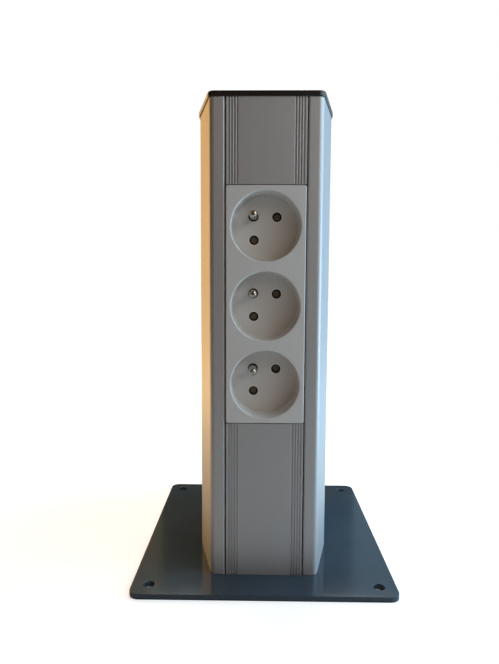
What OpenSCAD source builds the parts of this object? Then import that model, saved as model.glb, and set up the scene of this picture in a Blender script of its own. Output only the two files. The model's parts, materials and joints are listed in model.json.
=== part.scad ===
// Short two-sided power column: an aluminium post on a base plate, with a three-gang socket strip in
// its front channel. Millimetres, +Z up, the front faces -Y, and the origin is the centre of the
// base plate's underside.

/* [Base plate] */
// Width of the base plate
base_w = 152.5; // [140:0.5:180]
// Depth of the base plate, front to back
base_d = 164.5; // [150:0.5:200]
// Thickness of the base plate
base_t = 3.2; // [2.8:0.1:5]
// Corner radius of the base plate
base_r = 6; // [3:0.5:9]
// Diameter of the four fixing holes
fix_hole_d = 6.5; // [4.5:0.1:8]
// Distance from the plate's edges to the centre of a fixing hole
fix_hole_inset = 10.4; // [9:0.1:14]
// Diameter of the two cable holes in the base plate
cable_hole_d = 28; // [24:0.5:30]
// Distance from the post's centre to each cable hole, front and back
cable_hole_y = 27; // [25:0.5:29]

/* [Post] */
// Height of the aluminium post
post_h = 274.6; // [262:0.1:600]
// Depth of the post, front face to rear face
post_d = 121; // [118:0.5:126]
// Width of the post at its widest
post_w = 80.9; // [78:0.1:86]
// Width of the front face, measured to the corners before they are rounded
face_w = 62.7; // [60:0.1:66]
// Depth at which the side faces reach the full width
shoulder_y = 38.2; // [34:0.1:42]
// Rounding of the four face corners
corner_r = 3.2; // [2.5:0.1:4]
// Rounding of the corners at the full width
shoulder_r = 4; // [2.5:0.1:5]
// Wall thickness of the post
wall = 2; // [1.6:0.1:2.4]
// Thickness of the web between the front and rear compartments
web_t = 2; // [1.6:0.1:3]
// Clear width of the channel in the front and rear faces
channel_w = 46.1; // [45.9:0.1:47]
// Depth of the channel's return walls behind the face
return_d = 9; // [7:0.5:10]
// Thickness of the return walls
return_t = 1.6; // [1.2:0.1:2]
// Core diameter of the screw ports
port_d = 3.9; // [3.4:0.1:4.2]
// Wall around a screw port
port_wall = 1.6; // [1.2:0.1:2]
// Distance from the web's centre to a screw port
port_y = 15; // [11:0.5:18]

/* [End cap] */
// Thickness of the cap plate
cap_t = 3.1; // [2.5:0.1:4]
// How far the cap reaches past the post all round
cap_overhang = 0.8; // [0.2:0.1:1.5]
// Length of the cap's pegs in the screw ports
cap_peg_l = 12; // [8:1:20]
// Height of the two tongues that straddle the web
cap_tongue_h = 7; // [4:1:12]
// Length of the two tongues along the web
cap_tongue_l = 44; // [20:1:56]
// Thickness of the two tongues
cap_tongue_t = 1.6; // [1.2:0.1:2.4]

/* [Cover strips] */
// Width of a cover strip
cover_w = 44.9; // [44.5:0.1:45.3]
// Thickness of a cover strip
cover_t = 1.6; // [1.3:0.1:2]
// Grooves along each edge of a cover strip
groove_count = 4; // [3:1:6]
// Distance from the strip's edge to the centre of the first groove
groove_first = 1.65; // [1.2:0.05:1.9]
// Distance from groove to groove
groove_pitch = 1.55; // [1.4:0.05:1.8]
// Width of a groove
groove_w = 0.75; // [0.4:0.05:1]
// Depth of a groove
groove_h = 0.55; // [0.3:0.05:0.8]
// Thickness of a snap leg
leg_t = 1.2; // [1:0.1:1.6]
// Distance from the strip's edge to a snap leg
leg_inset = 1.6; // [1.4:0.1:2.2]
// Height of the hook at the end of a snap leg
hook_h = 1.6; // [1:0.1:2.2]
// Gap between a cover strip and the socket strip
cover_gap = 0.4; // [0.2:0.1:0.8]

/* [Socket strip] */
// Height of the socket strip's lower edge above the base plate
strip_z = 92; // [70:0.5:110]
// Width of the socket strip's face
strip_w = 45; // [44.6:0.1:45.4]
// Distance from socket to socket
pitch = 45; // [44.6:0.1:46]
// How far the strip's face stands proud of the post's face
proud = 0.5; // [0:0.1:1.2]
// Thickness of the face plate
plate_t = 2.5; // [2:0.1:3.2]
// Edge break of the face plate
plate_edge = 0.5; // [0.2:0.1:0.8]
// Depth of the whole socket strip
strip_d = 40.5; // [39.5:0.5:46]
// Diameter of a recess at its mouth
recess_d = 39.2; // [38.6:0.1:40]
// Diameter of a recess at its floor
recess_floor_d = 38.8; // [37.5:0.1:39]
// Depth of a recess
recess_h = 16; // [14:0.1:17]
// Wall of a recess cup
cup_wall = 0.7; // [0.6:0.05:0.8]
// Depth of the seat behind the face plate that a recess cup stands in
cup_seat = 0.8; // [0.5:0.1:1.2]
// Thickness of a recess floor
floor_t = 2.3; // [1.8:0.1:3]
// Angle that the sockets are turned by
socket_turn = 45; // [40:1:50]
// Distance between the two live holes
pin_spacing = 19; // [18.6:0.1:19.4]
// Diameter of a live hole
live_hole_d = 5.6; // [5:0.1:5.8]
// Diameter of an earth pin
earth_pin_d = 4.8; // [4.6:0.1:5]
// Diameter of the hole in a recess floor that an earth pin comes through
earth_hole_d = 5.8; // [5.2:0.1:6]
// Distance from a socket's centre to its earth pin
earth_pin_off = 10; // [9.6:0.1:10.4]
// Length of an earth pin in front of the recess floor
earth_pin_l = 14; // [11:0.5:15]
// Clearance between the body of the strip and the edge of its face
body_inset = 0.7; // [0.5:0.05:0.8]
// Wall of the strip's body
skirt_t = 1.4; // [1:0.1:1.4]
// Wall of the rear housing
shell_t = 1.6; // [1.2:0.1:2]
// Thickness of the rib between the live and the neutral side of the rear housing
rib_t = 1.2; // [0.8:0.1:1.6]
// Distance from the earth bar back to that rib
rib_gap = 1; // [0.5:0.1:2]
// Inset of the strip's body from the ends of its face
end_inset = 0.7; // [0.6:0.1:1.6]

/* [Shutters] */
// Thickness of a shutter
shutter_t = 1.8; // [1.4:0.1:2.2]
// Diameter of the pin that a shutter turns on
hub_pin_d = 4; // [3.6:0.1:4.2]
// Radial clearance of a shutter on its pin
hub_clear = 0.05; // [0.03:0.01:0.08]
// Free space in front of and behind a shutter
slide_gap = 0.3; // [0.2:0.05:0.5]
// Overlap of a shutter's lobe round its live hole
lobe_margin = 0.8; // [0.5:0.1:1]
// Width of a shutter's arms
arm_w = 4.4; // [4:0.1:4.8]
// Wall round a shutter's bore
hub_wall = 2.1; // [1.6:0.1:2.4]
// Wire diameter of a shutter's spring
spring_wire_d = 0.6; // [0.4:0.05:0.7]
// Length of a spring's coil
spring_l = 1.7; // [1.4:0.1:1.9]
// Radius at which a spring presses on a shutter's arm
spring_reach = 5.5; // [5.3:0.05:5.6]

/* [Contacts] */
// Thickness of the contact carrier
carrier_t = 4; // [3.6:0.1:5]
// Height of the walls that keep each contact's leaves in line
guide_h = 4; // [3:0.1:5]
// Thickness of those walls
guide_t = 1; // [0.6:0.1:1.2]
// Thickness of the bus bars
bar_t = 1; // [0.8:0.1:1.2]
// Width of the live and neutral bars
bar_w = 5; // [4:0.1:5.4]
// Thickness of a contact leaf
leaf_t = 0.7; // [0.5:0.05:0.8]
// Clear space between a contact's leaves at their grip
leaf_grip = 4.2; // [3.8:0.1:4.4]
// Clear space between a contact's leaves at their mouth and root
leaf_mouth = 6.4; // [6:0.1:6.6]
// Gap between the carrier and the tips of the leaves
leaf_gap = 0.7; // [0.4:0.1:1.2]
// Width of the earth bar
earth_bar_w = 3; // [2.4:0.1:3.2]
// Distance from the strip's middle to the earth bar
earth_bar_x = 13.7; // [13.5:0.05:13.9]
// Width of an earth bar's tab
earth_tab_w = 7; // [6:0.1:7.4]
// Width of a terminal clamp
clamp_w = 6; // [5.4:0.1:6.2]
// Height of a terminal clamp
clamp_h = 7; // [6:0.1:7.4]
// Depth of the live and neutral clamps
clamp_d = 7; // [6:0.1:7.4]
// Diameter of a clamp's wire hole
wire_hole_d = 2.8; // [2.4:0.1:3]
// Height of the clamps above the rear housing's lower wall
clamp_seat = 0.5; // [0.3:0.1:1]

/* [Fasteners] */
// Shank diameter of the screws that hold the post
post_screw_d = 3.8; // [3.3:0.1:4.1]
// Head diameter of the screws that hold the post
post_screw_head_d = 7.6; // [7:0.1:8.4]
// Length of the screws that hold the post
post_screw_l = 20; // [14:1:30]
// Shank diameter of the screws in the socket strip
strip_screw_d = 2.7; // [2.4:0.1:2.8]
// Head diameter of the screws in the socket strip
strip_screw_head_d = 4.6; // [4:0.1:4.8]
// Height of those screws' heads
strip_screw_head_h = 1.1; // [0.9:0.1:1.4]
// Reach of those screws in front of the back of the recesses
strip_screw_grip = 6.3; // [5:0.1:8]
// Distance from the strip's middle to its screws
strip_screw_x = 18; // [17.9:0.05:18.2]
// Wall round a screw in the strip
boss_wall = 1.2; // [1:0.05:1.25]
// Thread diameter of the terminal screws
terminal_screw_d = 3; // [2.6:0.1:3.2]
// Head diameter of the terminal screws
terminal_head_d = 4.2; // [3.8:0.1:4.4]
// Width of a side clip
clip_w = 8; // [6:0.5:12]
// Thickness of a side clip
clip_t = 0.5; // [0.4:0.05:0.6]
// Length of a side clip
clip_l = 9; // [7:0.5:10]

/* [Cable bushes] */
// Clear bore of a cable bush
bush_bore_d = 22; // [18:0.5:24]
// Reach of a bush's rim past its hole
bush_rim = 2.5; // [1.5:0.1:3]
// Thickness of a bush's rim
bush_rim_t = 1.6; // [1.2:0.1:2]

/* [Earth bond] */
// Thread diameter of the earth stud
stud_d = 4; // [3.5:0.5:5]
// Height of the earth stud above the plate
stud_h = 12; // [10:0.5:16]
// Sideways place of the earth stud
stud_x = -27; // [-29:0.5:-26]
// Place of the earth stud, behind the post's middle
stud_y = -26; // [-30:0.5:-24]
// Width of the nut across its flats
nut_af = 7; // [6.5:0.5:8]
// Thickness of the nut
nut_t = 3.2; // [2.4:0.1:4]
// Rim of the stud's welded flange round the stud
stud_flange_rim = 1.2; // [0.8:0.1:2]
// Thickness of the stud's welded flange
stud_flange_h = 0.8; // [0.5:0.1:1.2]
// Thickness of the washer
washer_t = 0.6; // [0.4:0.1:1]
// Diameter of the washer
washer_d = 9; // [8:0.5:10]
// Thickness of the lead's ring eye
eye_t = 0.8; // [0.6:0.1:1]
// Width of the eye's ring round the stud
eye_rim = 2; // [1.5:0.1:2.5]
// Wall of the crimp barrel round the lead
barrel_wall = 0.6; // [0.4:0.1:0.8]
// Length of the crimp barrel
barrel_l = 4.5; // [3.5:0.5:6]
// Outer diameter of the lead's insulation
lead_d = 2.6; // [2.2:0.1:2.8]
// Conductor diameter of the lead
core_d = 1.8; // [1.2:0.1:2]
// Bend radius of the lead
lead_bend = 5; // [4:0.5:5.5]
// Distance from the end of the lead's conductor to the middle of its clamp
core_stop = 0.5; // [0:0.1:1]

/* [Hidden] */
$fn = 64;
gangs = 3;
// A cut reaches this far past the face that it opens
over = 1;
// Clearance of a pin or a shank in its hole, on the radius
fit = 0.05;
// Clearance between pieces that snap over each other
snap_gap = 0.3;
// Clearance between a piece and the opening that it drops into
drop_gap = 0.2;
// Clearance round a screw that only passes through, on the radius
pass_gap = 0.15;
// How deep one shape runs into the other where the two make one solid
lap = 0.5;
// How far the lower end of a cable bush stays above the plate's underside
bush_lift = 0.3;
// Length of a countersunk head before its cone begins
head_land = 0.2;
// Width and depth of the cross in the screws that hold the post
post_cross = [0.7, 1.2];
// Length, width and depth of the slots in the small screws
slot = [2.8, 0.6, 0.6];

face_y = -post_d / 2;
post_z0 = base_t;
post_z1 = post_z0 + post_h;
slant = atan((post_w - face_w) / 2 / shoulder_y);
port_x = post_w / 2 - wall - port_d / 2;

strip_z0 = base_t + strip_z;
strip_l = gangs * pitch;
strip_z1 = strip_z0 + strip_l;
plate_y0 = face_y - proud;
plate_y1 = plate_y0 + plate_t;
floor_y0 = plate_y0 + recess_h;
floor_y1 = floor_y0 + floor_t;
cup_d = recess_d + 2 * cup_wall;
shutter_y0 = floor_y1 + slide_gap;
shutter_y1 = shutter_y0 + shutter_t;
carrier_y0 = shutter_y1 + slide_gap;
carrier_y1 = carrier_y0 + carrier_t;
earth_y1 = carrier_y1 + bar_t;
rear_y1 = plate_y0 + strip_d;
rear_in = rear_y1 - shell_t;
bar_y0 = rear_in - bar_t;

body_hw = strip_w / 2 - body_inset;
body_z0 = strip_z0 + end_inset;
body_z1 = strip_z1 - end_inset;
body_r = 1.5;
plate_r = 1;

// Where a wire enters its clamp, and where the clamps stand
wire_y = bar_y0 - clamp_d / 2;
clamp_z0 = body_z0 + shell_t + clamp_seat;
clamp_z1 = clamp_z0 + clamp_h;
clamp_z = (clamp_z0 + clamp_z1) / 2;

live_off = pin_spacing / 2;
live_x = live_off * sin(socket_turn);
live_z = live_off * cos(socket_turn);
earth_x = -earth_pin_off * cos(socket_turn);
earth_z = earth_pin_off * sin(socket_turn);
// Clear width and height inside the walls round a contact
guide_w = bar_w + 1.6;
guide_l = leaf_mouth + 2 * leaf_t + 1;
hub_bore_d = hub_pin_d + 2 * hub_clear;
lobe_r = live_hole_d / 2 + lobe_margin;
rivet_d = earth_pin_d * 0.625;
rivet_head_d = rivet_d + 1.4;
rivet_head_h = 0.7;
// Each clamp: its place across the strip, and where its front face is
clamps = [[live_x, bar_y0 - clamp_d], [-live_x, bar_y0 - clamp_d], [-earth_bar_x, earth_y1]];

// Free space between a spring's coil and the pin inside it, and between the coil and its pocket
coil_gap = 0.35;
pocket_gap = 0.4;
coil_r = hub_pin_d / 2 + spring_wire_d / 2 + coil_gap;
coil_y0 = carrier_y0 + 0.1;
leg_y = carrier_y0 + 0.15 + spring_wire_d / 2;
leg_pocket_y = leg_y + spring_wire_d / 2 + drop_gap;
sweep_r = spring_reach + spring_wire_d / 2 + 0.5;
coil_pocket_y = coil_y0 + spring_l + drop_gap;
// The hub pins end short of the carrier's back
hub_pin_y1 = carrier_y1 - 0.6;
// Angles round the hub, anticlockwise from +X as seen from the front: the moving leg lies beside the arm
leg_beside_arm = 31;
moving_leg_a = 90 - socket_turn - leg_beside_arm;
fixed_leg_a = moving_leg_a - 90;
fixed_leg_r = sweep_r + 1.2;
// How far from the middle a hook or a clip reaches behind a return wall
hook_reach = channel_w / 2 + 0.6 * return_t;

stud_flange_d = stud_d + 2 * stud_flange_rim;
eye_z0 = base_t + stud_flange_h + washer_t;
barrel_d = lead_d + 2 * barrel_wall;
eye_d = stud_d + 2 * eye_rim;
barrel_x = eye_d / 2 + lap;
lead_z = eye_z0 + barrel_d / 2;
lead_dx = -earth_bar_x - stud_x;
lead_dy = wire_y - stud_y;
lead_run = norm([lead_dx, lead_dy]);
lead_turn = atan2(lead_dy, lead_dx);

// Height of a socket's centre, counted from the top
function gang_z(n) = strip_z0 + pitch * (gangs - n + 0.5);

function unit(v) = v / norm(v);

// The arc of radius r that rounds corner q between its neighbours p and s
function fillet(p, q, s, r) =
    let (a = unit(p - q), b = unit(s - q), half = acos(a * b) / 2,
         c = q + unit(a + b) * r / sin(half),
         p1 = q + a * r / tan(half), p2 = q + b * r / tan(half),
         a1 = atan2(p1.y - c.y, p1.x - c.x), a2 = atan2(p2.y - c.y, p2.x - c.x),
         turn = (a2 - a1 + 540) % 360 - 180, n = max(1, ceil(abs(turn) / 10)))
    [for (i = [0:n]) c + r * [cos(a1 + turn * i / n), sin(a1 + turn * i / n)]];

// The polygon pts with its corners rounded to the radii r
function rounded(pts, r) = let (n = len(pts))
    [for (i = [0:n - 1]) each fillet(pts[(i + n - 1) % n], pts[i], pts[(i + 1) % n], r[i])];

// Plan outline of the post, drawn in by i all round
function post_outline(i) =
    let (s = sin(slant), c = cos(slant), hw = post_w / 2,
         x1 = face_w / 2 - i * (1 - s) / c, y1 = face_y + i,
         x2 = hw - i, y2 = face_y + ((hw - face_w / 2 - i) * c + i) / s,
         r1 = max(0.4, corner_r - i), r2 = shoulder_r)
    rounded([[-x1, y1], [x1, y1], [x2, y2], [x2, -y2], [x1, -y1], [-x1, -y1], [-x2, -y2], [-x2, y2]],
        [r1, r1, r2, r2, r1, r1, r2, r2]);

module rounded_rect(w, h, r) {
    square([w - 2 * r, h], center = true);
    square([w, h - 2 * r], center = true);
    for (x = [-1, 1], y = [-1, 1]) translate([x * (w / 2 - r), y * (h / 2 - r)]) circle(r = r);
}

// A shape drawn in x and z, as thick as from y0 to y1
module slab(y0, y1) translate([0, y1, 0]) rotate([90, 0, 0]) linear_extrude(y1 - y0) children();

// A round bar along y
module rod(x, z, y0, y1, d) translate([x, y1, z]) rotate([90, 0, 0]) cylinder(d = d, h = y1 - y0);

// A polygon drawn anticlockwise on the right, or its mirror image on the left where s is -1
module handed(s, pts)
    polygon(s > 0 ? pts : [for (i = [len(pts) - 1:-1:0]) [-pts[i].x, pts[i].y]]);

// A box from its lowest to its highest corner
module block(a, b) translate(a) cube(b - a);

module base_ports() for (x = [-1, 1], y = [-1, 1]) translate([x * port_x, y * port_y]) children();

module fixing_holes()
    for (x = [-1, 1], y = [-1, 1])
        translate([x * (base_w / 2 - fix_hole_inset), y * (base_d / 2 - fix_hole_inset)]) children();

module strip_screws()
    for (x = [-1, 1], n = [1:gangs - 1])
        translate([x * strip_screw_x, 0, gang_z(n) - pitch / 2]) children();

// Puts a shape at the live hole on each side of socket n
module live_holes(n) for (s = [-1, 1]) translate([s * live_x, 0, gang_z(n) + s * live_z]) children();

module base_plate() color([0.17, 0.2, 0.22])
    difference() {
        linear_extrude(base_t) rounded_rect(base_w, base_d, base_r);
        fixing_holes() translate([0, 0, -over]) cylinder(d = fix_hole_d, h = base_t + 2 * over);
        for (s = [-1, 1])
            translate([0, s * cable_hole_y, -over]) cylinder(d = cable_hole_d, h = base_t + 2 * over);
        base_ports() {
            translate([0, 0, -over]) cylinder(d = port_d + 2 * pass_gap, h = base_t + 2 * over);
            screw_head(drop_gap);
        }
    }

// Countersunk head, flush with the underside of the base plate, grown by gap
module screw_head(gap) {
    head_h = (post_screw_head_d - post_screw_d) / 2;
    translate([0, 0, gap > 0 ? -over : 0])
        cylinder(d = post_screw_head_d + 2 * gap, h = head_land + (gap > 0 ? over : 0));
    translate([0, 0, head_land])
        cylinder(d1 = post_screw_head_d + 2 * gap, d2 = post_screw_d + 2 * gap, h = head_h);
}

module base_screws() color("silver")
    base_ports() difference() {
        union() {
            screw_head(0);
            cylinder(d = post_screw_d, h = post_screw_l);
        }
        for (a = [0, 90]) rotate(a)
            translate([-post_screw_d / 2, -post_cross[0] / 2, -over])
                cube([post_screw_d, post_cross[0], over + post_cross[1]]);
    }

module bush(y) color([0.08, 0.08, 0.08])
    translate([0, y, 0]) rotate_extrude()
        polygon([[bush_bore_d / 2, bush_lift], [cable_hole_d / 2 - fit, bush_lift],
            [cable_hole_d / 2 - fit, base_t], [cable_hole_d / 2 + bush_rim, base_t],
            [cable_hole_d / 2 + bush_rim, base_t + bush_rim_t * 0.6],
            [cable_hole_d / 2 + bush_rim - bush_rim_t * 0.4, base_t + bush_rim_t],
            [bush_bore_d / 2, base_t + bush_rim_t]]);

module power_grommet() bush(-cable_hole_y);

module data_grommet() bush(cable_hole_y);

module earth_stud() color([0.7, 0.55, 0.35])
    translate([stud_x, stud_y, base_t]) {
        cylinder(d = stud_flange_d, h = stud_flange_h);
        cylinder(d = stud_d, h = stud_h);
    }

module earth_washer() color("silver")
    translate([stud_x, stud_y, base_t + stud_flange_h]) difference() {
        cylinder(d = washer_d, h = washer_t);
        translate([0, 0, -over]) cylinder(d = stud_d + 4 * fit, h = washer_t + 2 * over);
    }

module earth_nut() color("silver")
    translate([stud_x, stud_y, eye_z0 + eye_t]) difference() {
        cylinder(d = nut_af / cos(30), h = nut_t, $fn = 6);
        translate([0, 0, -over]) cylinder(d = stud_d + 2 * fit, h = nut_t + 2 * over, $fn = 64);
    }

// Ring eye on the stud, a run above the plate, a bend, and a straight rise into the earth clamp
module earth_lead() color([0.35, 0.6, 0.15])
    translate([stud_x, stud_y, 0]) rotate(lead_turn) {
        difference() {
            union() {
                translate([0, 0, eye_z0]) cylinder(d = eye_d, h = eye_t);
                translate([0, -lead_d / 2, eye_z0]) cube([eye_d / 2 + over, lead_d, eye_t]);
            }
            translate([0, 0, eye_z0 - over]) cylinder(d = stud_d + 4 * fit, h = eye_t + 2 * over);
        }
        translate([barrel_x, 0, lead_z]) rotate([0, 90, 0]) cylinder(d = barrel_d, h = barrel_l);
        translate([barrel_x, 0, lead_z]) rotate([0, 90, 0])
            cylinder(d = lead_d, h = lead_run - lead_bend - barrel_x);
        translate([lead_run - lead_bend, 0, lead_z + lead_bend]) rotate([90, 0, 0])
            rotate([0, 0, -90]) rotate_extrude(angle = 90) translate([lead_bend, 0]) circle(d = lead_d);
        translate([lead_run, 0, lead_z + lead_bend]) {
            cylinder(d = lead_d, h = clamp_z0 - drop_gap - lead_z - lead_bend);
            cylinder(d = core_d, h = clamp_z - core_stop - lead_z - lead_bend);
        }
    }

module post_section() difference() {
    union() {
        difference() {
            polygon(post_outline(0));
            polygon(post_outline(wall));
        }
        square([post_w - wall, web_t], center = true);
        base_ports() circle(d = port_d + 2 * port_wall);
        for (x = [-1, 1], y = [-1, 1])
            translate([x * (channel_w + return_t) / 2, y * (post_d - return_d - wall / 2) / 2])
                square([return_t, return_d - wall / 2], center = true);
    }
    for (y = [-1, 1])
        translate([0, y * post_d / 2]) square([channel_w, 2 * (wall + over)], center = true);
    base_ports() circle(d = port_d);
}

module post_profile() color([0.72, 0.73, 0.75])
    translate([0, 0, post_z0]) linear_extrude(post_h) post_section();

module end_cap() color([0.06, 0.06, 0.06])
    translate([0, 0, post_z1]) {
        linear_extrude(cap_t) polygon(post_outline(-cap_overhang));
        base_ports() translate([0, 0, -cap_peg_l]) cylinder(d = port_d - 2 * fit, h = cap_peg_l + over);
        translate([0, 0, -cap_tongue_h]) linear_extrude(cap_tongue_h + over)
            for (s = [-1, 1]) translate([0, s * (web_t / 2 + drop_gap + cap_tongue_t / 2)])
                square([cap_tongue_l, cap_tongue_t], center = true);
    }

// Cross-section of a cover strip at the front: grooved face, two legs and their hooks
module cover_section() translate([0, face_y]) difference() {
    leg_x = cover_w / 2 - leg_inset - leg_t;
    hook_y = return_d + snap_gap;
    union() {
        translate([-cover_w / 2, 0]) square([cover_w, cover_t]);
        for (s = [-1, 1])
            handed(s, [[leg_x, cover_t / 2], [leg_x + leg_t, cover_t / 2], [leg_x + leg_t, hook_y],
                [hook_reach, hook_y], [hook_reach, hook_y + hook_h * 0.3], [leg_x + leg_t, hook_y + hook_h],
                [leg_x, hook_y + hook_h]]);
    }
    for (s = [-1, 1], i = [0:groove_count - 1])
        translate([s * (cover_w / 2 - groove_first - i * groove_pitch) - groove_w / 2, -over])
            square([groove_w, over + groove_h]);
}

module cover(z0, z1) color([0.74, 0.75, 0.77])
    translate([0, 0, z0]) linear_extrude(z1 - z0) cover_section();

module upper_cover() cover(strip_z1 + cover_gap, post_z1);

module lower_cover() cover(post_z0, strip_z0 - cover_gap);

module rear_cover() rotate(180) cover(post_z0, post_z1);

module body_outline() translate([0, (strip_z0 + strip_z1) / 2])
    rounded_rect(2 * body_hw, body_z1 - body_z0, body_r);

// The face plate with its edge broken all round
module face_plate() intersection() {
    slab(plate_y0, plate_y1) translate([0, (strip_z0 + strip_z1) / 2])
        rounded_rect(strip_w, strip_l, plate_r);
    translate([0, 0, strip_z0]) linear_extrude(strip_l)
        polygon([[-strip_w / 2, plate_y1], [-strip_w / 2, plate_y0 + plate_edge],
            [-strip_w / 2 + plate_edge, plate_y0], [strip_w / 2 - plate_edge, plate_y0],
            [strip_w / 2, plate_y0 + plate_edge], [strip_w / 2, plate_y1]]);
    translate([-strip_w / 2, 0, 0]) rotate([90, 0, 90]) linear_extrude(strip_w)
        polygon([[plate_y1, strip_z0], [plate_y1, strip_z1], [plate_y0 + plate_edge, strip_z1],
            [plate_y0, strip_z1 - plate_edge], [plate_y0, strip_z0 + plate_edge],
            [plate_y0 + plate_edge, strip_z0]]);
}

module recess(z) {
    translate([0, floor_y0, z]) rotate([90, 0, 0])
        cylinder(d1 = recess_floor_d, d2 = recess_d, h = recess_h, $fn = 96);
    rod(0, z, plate_y0 - over, plate_y0, recess_d, $fn = 96);
}

module socket_front() color([0.93, 0.93, 0.92])
    difference() {
        union() {
            face_plate();
            difference() {
                slab(plate_y1 - lap, carrier_y0) body_outline();
                slab(plate_y1, carrier_y0 + over) translate([0, (strip_z0 + strip_z1) / 2])
                    square([2 * (body_hw - skirt_t), body_z1 - body_z0 - 2 * skirt_t], center = true);
            }
            strip_screws() rod(0, 0, plate_y1 - lap, carrier_y0, strip_screw_d + 2 * boss_wall);
        }
        for (n = [1:gangs]) {
            recess(gang_z(n));
            rod(0, gang_z(n), plate_y1 - cup_seat, plate_y1 + over, cup_d + 2 * fit, $fn = 96);
        }
        strip_screws() rod(0, 0, plate_y1 + over, carrier_y0 + over, strip_screw_d + 2 * fit);
    }

// The cup of recess n, with the pin that its shutter turns on
module recess_cup(n) color([0.93, 0.93, 0.92])
    difference() {
        union() {
            rod(0, gang_z(n), plate_y1 - cup_seat, floor_y1, cup_d, $fn = 96);
            rod(0, gang_z(n), floor_y1 - lap, hub_pin_y1, hub_pin_d);
        }
        recess(gang_z(n));
        live_holes(n) rod(0, 0, floor_y0 - over, floor_y1 + over, live_hole_d);
        rod(earth_x, gang_z(n) + earth_z, floor_y0 - over, floor_y1 + over, earth_hole_d);
    }

module recess_cup_1() recess_cup(1);

module recess_cup_2() recess_cup(2);

module recess_cup_3() recess_cup(3);

module contact_carrier() color([0.2, 0.2, 0.21])
    difference() {
        union() {
            slab(carrier_y0, carrier_y1) body_outline();
            for (n = [1:gangs]) live_holes(n) slab(carrier_y1 - lap, carrier_y1 + guide_h) difference() {
                square([guide_w + 2 * guide_t, guide_l + 2 * guide_t], center = true);
                square([guide_w, guide_l], center = true);
            }
        }
        for (n = [1:gangs]) {
            live_holes(n) rod(0, 0, carrier_y0 - over, carrier_y1 + over, live_hole_d);
            translate([0, 0, gang_z(n)]) {
                rod(earth_x, earth_z, carrier_y0 - over, carrier_y1 + over, earth_pin_d + 2 * fit);
                rod(0, 0, carrier_y0 - over, hub_pin_y1 + drop_gap, hub_pin_d + 2 * fit);
                rod(0, 0, carrier_y0 - over, leg_pocket_y, 2 * sweep_r);
                rod(0, 0, carrier_y0 - over, coil_pocket_y, 2 * (coil_r + spring_wire_d / 2 + pocket_gap));
                slab(carrier_y0 - over, leg_pocket_y) rotate(fixed_leg_a)
                    translate([0, -(spring_wire_d + drop_gap) / 2])
                        square([fixed_leg_r + drop_gap, spring_wire_d + drop_gap]);
            }
        }
        strip_screws() rod(0, 0, carrier_y0 - over, carrier_y1 + over, strip_screw_d + 2 * pass_gap);
    }

module rear_housing() color([0.85, 0.85, 0.84])
    difference() {
        union() {
            difference() {
                slab(carrier_y1, rear_y1) body_outline();
                slab(carrier_y1 - over, rear_in) translate([0, (strip_z0 + strip_z1) / 2])
                    square([2 * (body_hw - shell_t), body_z1 - body_z0 - 2 * shell_t], center = true);
            }
            block([-rib_t / 2, earth_y1 + rib_gap, body_z0 + shell_t / 2],
                [rib_t / 2, rear_in + lap, body_z1 - shell_t / 2]);
            strip_screws() rod(0, 0, carrier_y1, rear_in + lap, strip_screw_d + 2 * boss_wall);
        }
        strip_screws() {
            rod(0, 0, carrier_y1 - over, rear_y1 + over, strip_screw_d + 2 * pass_gap);
            rod(0, 0, rear_y1 - strip_screw_head_h, rear_y1 + over, strip_screw_head_d + 2 * pass_gap);
        }
        for (c = clamps) {
            rod(c[0], clamp_z, rear_in - over, rear_y1 + over, terminal_head_d + 2 * drop_gap);
            translate([c[0], wire_y, body_z0 - over])
                cylinder(d = lead_d + 2 * snap_gap, h = shell_t + 2 * over);
        }
    }

// Two leaves that grip a pin, one above it and one below: a lead-in, a straight grip and a long root
module contact(x, z) {
    lead_in = 2.6;
    grip_l = 2;
    y0 = carrier_y1 + leaf_gap;
    y1 = y0 + lead_in;
    y2 = y1 + grip_l;
    y3 = bar_y0 + bar_t / 2;
    m = leaf_mouth / 2;
    g = leaf_grip / 2;
    t = leaf_t;
    translate([x + bar_w / 2, 0, z]) rotate([0, -90, 0]) linear_extrude(bar_w) for (s = [-1, 1])
        handed(s, [[m, y0], [m + t, y0], [g + t, y1], [g + t, y2], [m + t, y3], [m, y3], [g, y2], [g, y1]]);
}

module pole_bar(s) color([0.8, 0.62, 0.3])
    difference() {
        union() {
            block([s * live_x - bar_w / 2, bar_y0, clamp_z0],
                [s * live_x + bar_w / 2, rear_in, gang_z(1) + s * live_z + leaf_mouth / 2 + leaf_t]);
            for (n = [1:gangs]) contact(s * live_x, gang_z(n) + s * live_z);
        }
        rod(s * live_x, clamp_z, bar_y0 - over, rear_in + over, terminal_screw_d + 2 * fit);
    }

module live_bar() pole_bar(1);

module neutral_bar() pole_bar(-1);

module earth_bar() color([0.8, 0.62, 0.3])
    difference() {
        union() {
            block([-earth_bar_x - earth_bar_w / 2, carrier_y1, clamp_z0],
                [-earth_bar_x + earth_bar_w / 2, earth_y1, gang_z(1) + earth_z + earth_tab_w / 2]);
            for (n = [1:gangs])
                block([-earth_bar_x, carrier_y1, gang_z(n) + earth_z - earth_tab_w / 2],
                    [earth_x + earth_pin_d * 0.7, earth_y1, gang_z(n) + earth_z + earth_tab_w / 2]);
        }
        for (n = [1:gangs])
            rod(earth_x, gang_z(n) + earth_z, carrier_y1 - over, earth_y1 + over, rivet_d + 2 * fit);
    }

// Round earth pin: domed tip, shank to the bar, rivet spigot and head
module earth_pin(n) color([0.78, 0.74, 0.66])
    translate([earth_x, 0, gang_z(n) + earth_z]) {
        tip_r = earth_pin_d / 2;
        tip_y = floor_y0 - earth_pin_l;
        translate([0, tip_y + tip_r, 0]) sphere(d = earth_pin_d);
        rod(0, 0, tip_y + tip_r, carrier_y1, earth_pin_d);
        rod(0, 0, carrier_y1 - lap, earth_y1 + rivet_head_h, rivet_d);
        rod(0, 0, earth_y1, earth_y1 + rivet_head_h, rivet_head_d);
    }

module earth_pin_1() earth_pin(1);

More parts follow.
